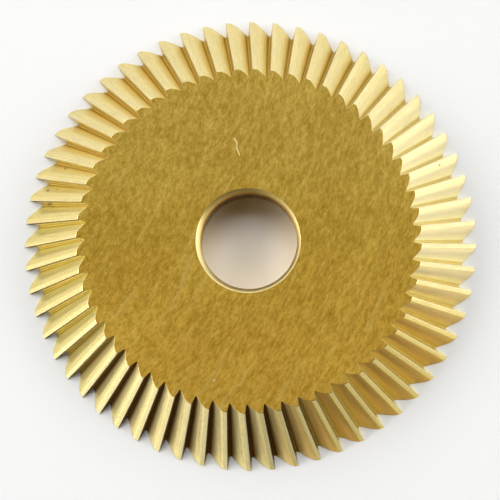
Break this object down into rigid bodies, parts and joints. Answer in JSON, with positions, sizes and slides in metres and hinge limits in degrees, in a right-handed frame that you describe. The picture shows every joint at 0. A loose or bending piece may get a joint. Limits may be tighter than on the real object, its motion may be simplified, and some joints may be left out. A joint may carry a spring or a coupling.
{
  "type": "single-angle side milling cutter",
  "caption": "Flat disc cutter with saw-like teeth round a conical rim on one side, a flat back and a plain chamfered arbor hole.",
  "frame": {"origin": "centre of the arbor hole in the plane of the flat back face, which the cutter lies on", "axes": "+Z along the arbor hole out of the toothed front side, +Y through the tip of one tooth, +X to the right as seen from the front"},
  "size_m": [0.06, 0.06, 0.006],
  "materials": {
    "coated_steel": "ground tool steel with a thin gold-coloured hard coating, satin"
  },
  "bodies": {
    "root": {"cutter": "coated_steel"}
  },
  "joints": []
}
